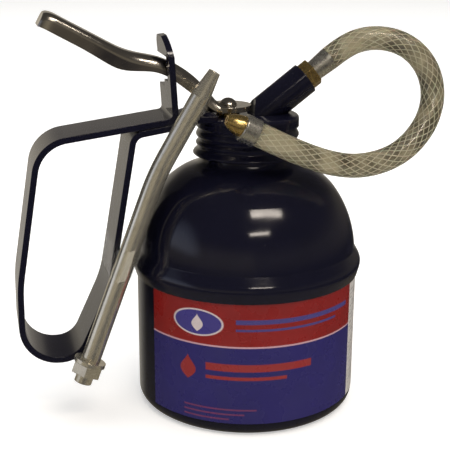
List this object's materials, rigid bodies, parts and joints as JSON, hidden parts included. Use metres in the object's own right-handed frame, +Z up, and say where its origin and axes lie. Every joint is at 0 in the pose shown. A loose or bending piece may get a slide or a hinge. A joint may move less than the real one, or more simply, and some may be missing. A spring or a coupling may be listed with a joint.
{
  "type": "pump oil can",
  "caption": "Small enamelled steel oil can with a domed shoulder, strap handle, thumb-lever pump, braided flexible spout and a spare rigid spout.",
  "frame": {"origin": "centre of the can's flat base", "axes": "+Z up along the can, handle toward -X, spout boss toward +X, rigid spare spout and label front toward -Y"},
  "size_m": [0.1455, 0.0792, 0.1354],
  "materials": {
    "navy_enamel": "gloss enamel",
    "label_print": "printed, semi-gloss",
    "nickel_plate": "bright nickel plate",
    "zinc_plate": "zinc plated, satin",
    "brass": "machined",
    "spring_steel": "drawn wire",
    "clear_hose": "clear vinyl over braid",
    "clear_tape": "clear film",
    "nitrile_rubber": "matte",
    "cup_leather": "oiled"
  },
  "bodies": {
    "can": {"can_lower_shell": "navy_enamel", "can_label": "label_print", "can_dome_shell": "navy_enamel", "can_neck": "navy_enamel"},
    "seal": {"neck_gasket": "nitrile_rubber"},
    "head": {"pump_cap": "navy_enamel", "spout_boss": "navy_enamel", "handle_strap": "navy_enamel", "handle_rivets": "navy_enamel", "gland_nut": "brass", "pump_barrel": "brass", "delivery_tube": "brass", "foot_valve": "brass", "ball_stop_ring": "brass", "dip_tube": "brass", "intake_strainer": "brass", "return_spring": "spring_steel", "hose_bushing": "brass", "hose_ferrule": "zinc_plate", "flex_hose": "clear_hose", "nozzle_ferrule": "zinc_plate", "nozzle_tip": "brass", "spare_spout_tube": "nickel_plate", "spare_spout_nut": "nickel_plate", "retaining_tape": "clear_tape"},
    "plunger": {"plunger_rod": "nickel_plate", "plunger_head": "nickel_plate", "piston": "brass", "piston_cup": "cup_leather", "piston_nut": "brass"},
    "lever": {"thumb_lever": "nickel_plate"},
    "inlet_ball": {"inlet_ball": "spring_steel"}
  },
  "joints": [
    {"name": "head_lift_off", "type": "slide", "parent": "can", "child": "seal", "axis": [0, 0, 1], "range_m": [0, 0.115]},
    {"name": "head_unscrew", "type": "hinge", "parent": "seal", "child": "head", "pos_m": [0, 0, 0.098], "axis": [0, 0, 1], "continuous": true},
    {"name": "lever_pivot", "type": "hinge", "parent": "head", "child": "lever", "pos_m": [-0.0277, 0, 0.1148], "axis": [0, -1, 0], "range_deg": [0, 22]},
    {"name": "plunger_lift", "type": "slide", "parent": "head", "child": "plunger", "axis": [0, 0, 1], "range_m": [0, 0.00906], "stiffness_N_per_m": 100, "springref_m": -0.005, "deforming": ["return_spring"]},
    {"name": "inlet_ball_lift", "type": "slide", "parent": "head", "child": "inlet_ball", "axis": [0, 0, 1], "range_m": [0, 0.0015]}
  ],
  "couplings": [
    {"joint": "lever_pivot", "follows": "plunger_lift", "rad_per_m": 42.37}
  ]
}
